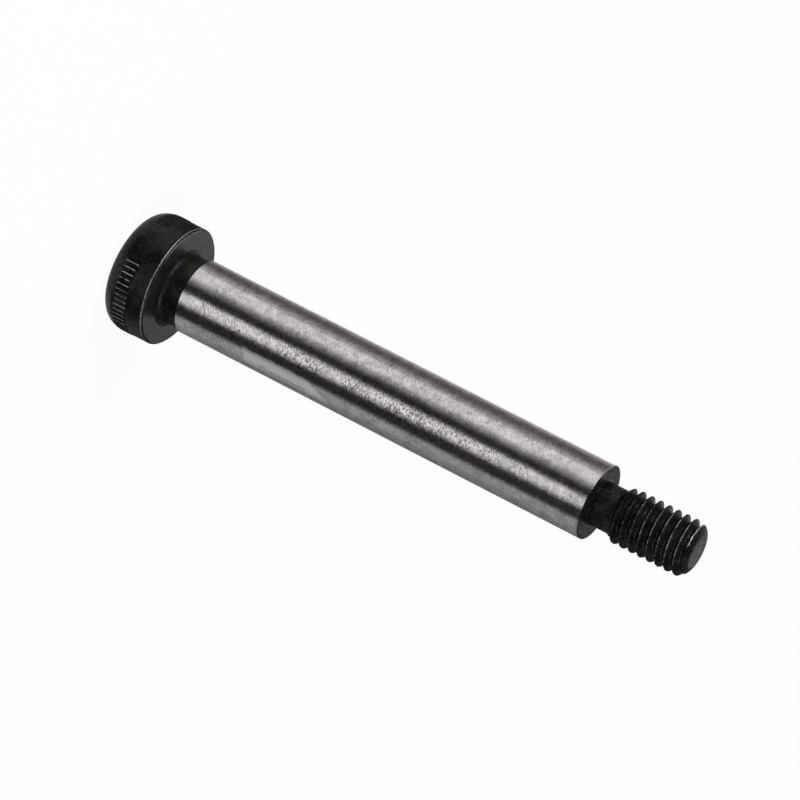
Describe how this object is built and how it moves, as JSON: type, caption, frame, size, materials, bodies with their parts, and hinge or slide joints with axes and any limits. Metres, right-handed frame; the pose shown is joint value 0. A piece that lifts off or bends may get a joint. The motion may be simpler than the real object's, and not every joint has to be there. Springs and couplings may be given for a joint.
{
  "type": "shoulder bolt",
  "caption": "Shoulder bolt with knurled socket head, long ground shoulder and short threaded end, used as a pivot or guide pin.",
  "frame": {"origin": "centre of the head's flat driving face, on which the bolt stands", "axes": "+Z along the bolt's axis from the head towards the thread end; the bare patch of the knurl faces between -X and -Y"},
  "size_m": [0.013, 0.013, 0.0664],
  "materials": {
    "alloy_steel": "shoulder ground bright and bare, head, both necks, thread and end faces black oxide with worn bright edges"
  },
  "bodies": {
    "root": {"shoulder_bolt": "alloy_steel"}
  },
  "joints": []
}
